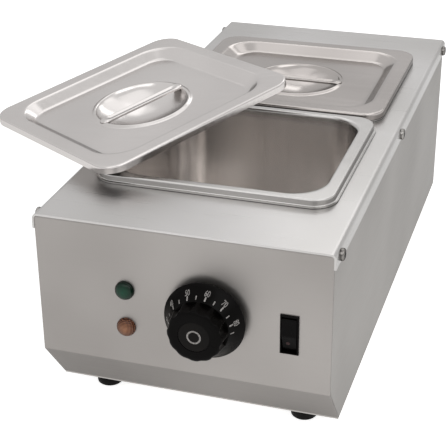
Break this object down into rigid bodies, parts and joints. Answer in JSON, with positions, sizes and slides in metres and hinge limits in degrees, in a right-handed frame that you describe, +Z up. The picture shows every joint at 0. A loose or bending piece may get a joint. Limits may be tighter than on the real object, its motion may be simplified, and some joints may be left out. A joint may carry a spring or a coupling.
{
  "type": "countertop chocolate melter",
  "caption": "Countertop dry-heat chocolate melter in stainless sheet with lift-out gastronorm pans, recessed-handle lids, a thermostat dial, rocker switch and pilot lamps",
  "frame": {"origin": "on the worktop, under the middle of the housing, in the plane of the feet", "axes": "+X to the right as seen from the control panel, +Y from the control panel to the back, +Z up"},
  "size_m": [0.3044, 0.4763, 0.1992],
  "materials": {
    "cover_steel": "satin",
    "panel_steel": "satin",
    "tank_steel": "satin",
    "pan_steel": "semi-bright",
    "lid_steel": "semi-bright",
    "screw_steel": "bright",
    "zinc": "satin",
    "rubber": "matt",
    "black_plastic": "satin",
    "disc_plastic": "satin",
    "rocker_plastic": "semi-gloss",
    "lens_green": "gloss",
    "lens_amber": "gloss",
    "white_plastic": "matt",
    "brass": "satin",
    "copper": "satin",
    "element_steel": "satin",
    "insulation": "matt",
    "thermo_plastic": "matt",
    "wire_brown": "satin",
    "wire_blue": "satin",
    "wire_green": "satin"
  },
  "bodies": {
    "housing": {"top_cover": "cover_steel", "front_panel": "panel_steel", "side_panel_left": "panel_steel", "side_panel_right": "panel_steel", "rear_panel": "panel_steel", "base_plate": "panel_steel", "cover_screws": "screw_steel", "cover_nuts": "zinc", "feet": "rubber", "foot_screws": "zinc", "foot_nuts": "zinc", "heating_tank": "tank_steel", "heating_element": "element_steel", "element_ends": "white_plastic", "element_clamps": "zinc", "clamp_studs": "zinc", "clamp_nuts": "zinc", "insulation_mat": "insulation", "insulation_boards": "insulation", "thermostat_body": "thermo_plastic", "thermostat_screws": "zinc", "thermostat_bulb": "copper", "thermostat_tube": "copper", "bulb_clips": "zinc", "safety_cutout": "thermo_plastic", "switch_frame": "black_plastic", "switch_tabs": "brass", "lamp_lens_green": "lens_green", "lamp_lens_amber": "lens_amber", "lamp_holders": "white_plastic", "lamp_rings": "black_plastic", "mains_inlet": "black_plastic", "inlet_pins": "brass", "inlet_screws": "zinc", "inlet_nuts": "zinc", "terminal_block": "white_plastic", "terminal_clamps": "brass", "earth_stud": "zinc", "earth_nut": "brass", "wires_live": "wire_brown", "wires_neutral": "wire_blue", "wires_earth": "wire_green"},
    "front_pan": {"front_pan": "pan_steel"},
    "rear_pan": {"rear_pan": "pan_steel"},
    "rear_lid": {"rear_lid": "lid_steel", "rear_lid_handle": "lid_steel"},
    "front_lid": {"front_lid": "lid_steel", "front_lid_handle": "lid_steel"},
    "dial": {"dial_spindle": "zinc", "dial_insert": "brass", "dial_knob": "black_plastic", "dial_disc": "disc_plastic"},
    "rocker": {"switch_rocker": "rocker_plastic"}
  },
  "joints": [
    {"name": "front_pan_lift", "type": "slide", "parent": "housing", "child": "front_pan", "axis": [0, 0, 1], "range_m": [0, 0.13]},
    {"name": "rear_pan_lift", "type": "slide", "parent": "housing", "child": "rear_pan", "axis": [0, 0, 1], "range_m": [0, 0.13]},
    {"name": "rear_lid_lift", "type": "slide", "parent": "rear_pan", "child": "rear_lid", "axis": [0, 0, 1], "range_m": [0, 0.12]},
    {"name": "front_lid_lift", "type": "slide", "parent": "rear_lid", "child": "front_lid", "axis": [0, 0, 1], "range_m": [0, 0.26]},
    {"name": "dial_turn", "type": "hinge", "parent": "housing", "child": "dial", "pos_m": [0.0185, -0.222, 0.0976], "axis": [0, -1, 0], "range_deg": [-110, 92]},
    {"name": "rocker_tilt", "type": "hinge", "parent": "housing", "child": "rocker", "pos_m": [0.0753, -0.219, 0.0935], "axis": [-1, 0, 0], "range_deg": [0, 14]}
  ],
  "couplings": [
    {"joint": "front_lid_lift", "follows": "front_pan_lift", "ratio": 2}
  ]
}
